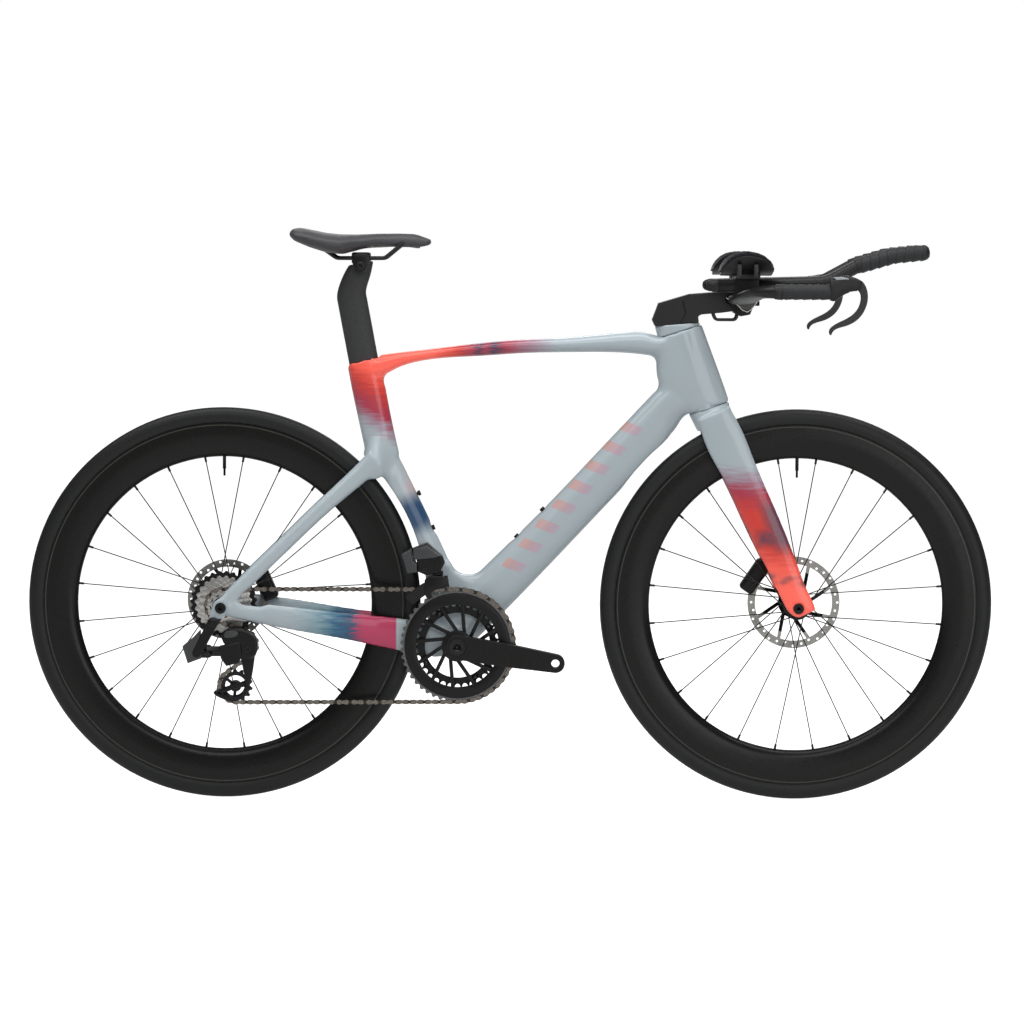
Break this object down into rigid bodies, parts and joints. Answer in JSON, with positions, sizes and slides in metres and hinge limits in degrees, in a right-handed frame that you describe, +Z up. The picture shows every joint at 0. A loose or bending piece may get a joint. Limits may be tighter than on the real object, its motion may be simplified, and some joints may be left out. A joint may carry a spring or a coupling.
{
  "type": "time trial bike",
  "caption": "Time trial bicycle with deep rims, aero frame and fork, base bar with arm rests and raised extensions, wireless gears, disc brakes; wheels, cranks, bars and levers move.",
  "frame": {"origin": "on the ground, midway between the two axles, on the bike's centre plane", "axes": "+X forward, +Y to the rider's left, +Z up"},
  "size_m": [1.661, 0.426, 0.984],
  "materials": {
    "composite_paint": "gloss",
    "matte_composite": "matte",
    "saddle_plastic": "gloss",
    "saddle_leather": "matte",
    "tyre_rubber": "matte",
    "grip_tape": "matte",
    "pad_fabric": "matte",
    "bright_steel": "satin",
    "bronze_steel": "satin",
    "black_alloy": "satin",
    "black_plastic": "satin",
    "dark_steel": "satin",
    "hose_jacket": "satin"
  },
  "bodies": {
    "frame": {"frame": "composite_paint", "headset_bearings": "bright_steel", "bottle_bolts": "dark_steel", "bottom_bracket": "black_alloy", "rear_axle": "black_alloy", "derailleur_hanger": "black_alloy", "rear_caliper": "black_alloy", "front_mech_body": "black_alloy", "front_mech_battery": "black_plastic", "chain": "bronze_steel", "rear_mech_base": "black_alloy", "rear_mech_battery": "black_plastic"},
    "seatpost": {"seatpost": "matte_composite", "saddle_clamp": "black_alloy"},
    "saddle": {"saddle_rails": "dark_steel", "saddle_shell": "saddle_plastic", "saddle_cover": "saddle_leather"},
    "crankset": {"crank_spindle": "dark_steel", "crank_arm_right": "matte_composite", "crank_arm_left": "matte_composite", "chainring_outer": "black_alloy", "chainring_inner": "black_alloy", "chainring_bolts": "dark_steel"},
    "cassette": {"cassette_cogs": "bright_steel", "freehub_body": "black_alloy"},
    "rear_wheel": {"rear_rim": "matte_composite", "rear_tyre": "tyre_rubber", "rear_hub": "black_alloy", "rear_spokes": "bright_steel", "rear_rotor": "bright_steel", "rear_valve": "dark_steel"},
    "front_wheel": {"front_rim": "matte_composite", "front_tyre": "tyre_rubber", "front_hub": "black_alloy", "front_spokes": "bright_steel", "front_rotor": "bright_steel", "front_valve": "dark_steel"},
    "rear_mech_link": {"rear_mech_link": "black_alloy"},
    "rear_mech_knuckle": {"rear_mech_knuckle": "black_alloy"},
    "rear_mech_cage": {"rear_mech_cage": "black_plastic"},
    "guide_pulley": {"guide_pulley": "black_plastic"},
    "tension_pulley": {"tension_pulley": "black_plastic"},
    "front_mech_link": {"front_mech_link": "black_alloy"},
    "front_mech_cage": {"front_mech_cage": "dark_steel"},
    "steering": {"fork": "composite_paint", "front_axle": "black_alloy", "front_caliper": "black_alloy", "headset_cover": "composite_paint", "stem": "matte_composite", "stem_cover": "matte_composite", "base_bar": "matte_composite", "bar_tape": "grip_tape", "extensions": "black_alloy", "extension_clamps": "black_alloy", "arm_rests": "matte_composite", "arm_pads": "pad_fabric", "lever_bodies": "black_plastic", "brake_hoses": "hose_jacket"},
    "brake_lever_right": {"brake_lever_right": "black_plastic"},
    "brake_lever_left": {"brake_lever_left": "black_plastic"}
  },
  "joints": [
    {"name": "steering_turn", "type": "hinge", "parent": "frame", "child": "steering", "pos_m": [0.33411, 0, 0.67663], "axis": [-0.309, 0, 0.9511], "range_deg": [-45, 45]},
    {"name": "front_wheel_spin", "type": "hinge", "parent": "steering", "child": "front_wheel", "pos_m": [0.4925, 0, 0.338], "axis": [0, 1, 0], "continuous": true},
    {"name": "rear_wheel_spin", "type": "hinge", "parent": "frame", "child": "rear_wheel", "pos_m": [-0.4925, 0, 0.338], "axis": [0, 1, 0], "continuous": true},
    {"name": "crank_spin", "type": "hinge", "parent": "frame", "child": "crankset", "pos_m": [-0.09012, 0, 0.2705], "axis": [0, 1, 0], "continuous": true, "deforming": ["chain"]},
    {"name": "cassette_spin", "type": "hinge", "parent": "frame", "child": "cassette", "pos_m": [-0.4925, 0, 0.338], "axis": [0, 1, 0], "continuous": true, "deforming": ["chain"]},
    {"name": "rear_mech_swing", "type": "hinge", "parent": "frame", "child": "rear_mech_link", "pos_m": [-0.516, -0.068, 0.262], "axis": [0, 0.7071, 0.7071], "range_deg": [-20, 38], "deforming": ["chain"]},
    {"name": "rear_mech_level", "type": "hinge", "parent": "rear_mech_link", "child": "rear_mech_knuckle", "pos_m": [-0.46, -0.068, 0.262], "axis": [0, 0.7071, 0.7071], "range_deg": [-38, 20], "deforming": ["chain"]},
    {"name": "rear_mech_tension", "type": "hinge", "parent": "rear_mech_knuckle", "child": "rear_mech_cage", "pos_m": [-0.444, -0.068, 0.262], "axis": [0, 1, 0], "range_deg": [-12, 20], "stiffness_Nm_per_rad": 1.5, "deforming": ["chain"]},
    {"name": "guide_pulley_spin", "type": "hinge", "parent": "rear_mech_cage", "child": "guide_pulley", "pos_m": [-0.458, -0.0476, 0.271], "axis": [0, 1, 0], "continuous": true, "deforming": ["chain"]},
    {"name": "tension_pulley_spin", "type": "hinge", "parent": "rear_mech_cage", "child": "tension_pulley", "pos_m": [-0.47024, -0.0476, 0.20005], "axis": [0, 1, 0], "continuous": true, "deforming": ["chain"]},
    {"name": "front_mech_swing", "type": "hinge", "parent": "frame", "child": "front_mech_link", "pos_m": [-0.12412, -0.04408, 0.41622], "axis": [1, 0, 0], "range_deg": [0, 18], "deforming": ["chain"]},
    {"name": "front_mech_level", "type": "hinge", "parent": "front_mech_link", "child": "front_mech_cage", "pos_m": [-0.12412, -0.0476, 0.3945], "axis": [1, 0, 0], "range_deg": [-18, 0], "deforming": ["chain"]},
    {"name": "brake_pull_right", "type": "hinge", "parent": "steering", "child": "brake_lever_right", "pos_m": [0.56984, -0.2, 0.89377], "axis": [0, 1, 0], "range_deg": [0, 18], "stiffness_Nm_per_rad": 2},
    {"name": "brake_pull_left", "type": "hinge", "parent": "steering", "child": "brake_lever_left", "pos_m": [0.56984, 0.2, 0.89377], "axis": [0, 1, 0], "range_deg": [0, 18], "stiffness_Nm_per_rad": 2},
    {"name": "seatpost_height", "type": "slide", "parent": "frame", "child": "seatpost", "axis": [-0.184, 0, 0.9829], "range_m": [-0.035, 0.018]},
    {"name": "saddle_slide", "type": "slide", "parent": "seatpost", "child": "saddle", "axis": [1, 0, 0], "range_m": [-0.01, 0.01]}
  ],
  "couplings": [
    {"joint": "cassette_spin", "follows": "crank_spin", "ratio": 3.4286},
    {"joint": "guide_pulley_spin", "follows": "crank_spin", "ratio": -4},
    {"joint": "tension_pulley_spin", "follows": "crank_spin", "ratio": 3.4286},
    {"joint": "rear_mech_level", "follows": "rear_mech_swing", "ratio": -1},
    {"joint": "front_mech_level", "follows": "front_mech_swing", "ratio": -1}
  ]
}
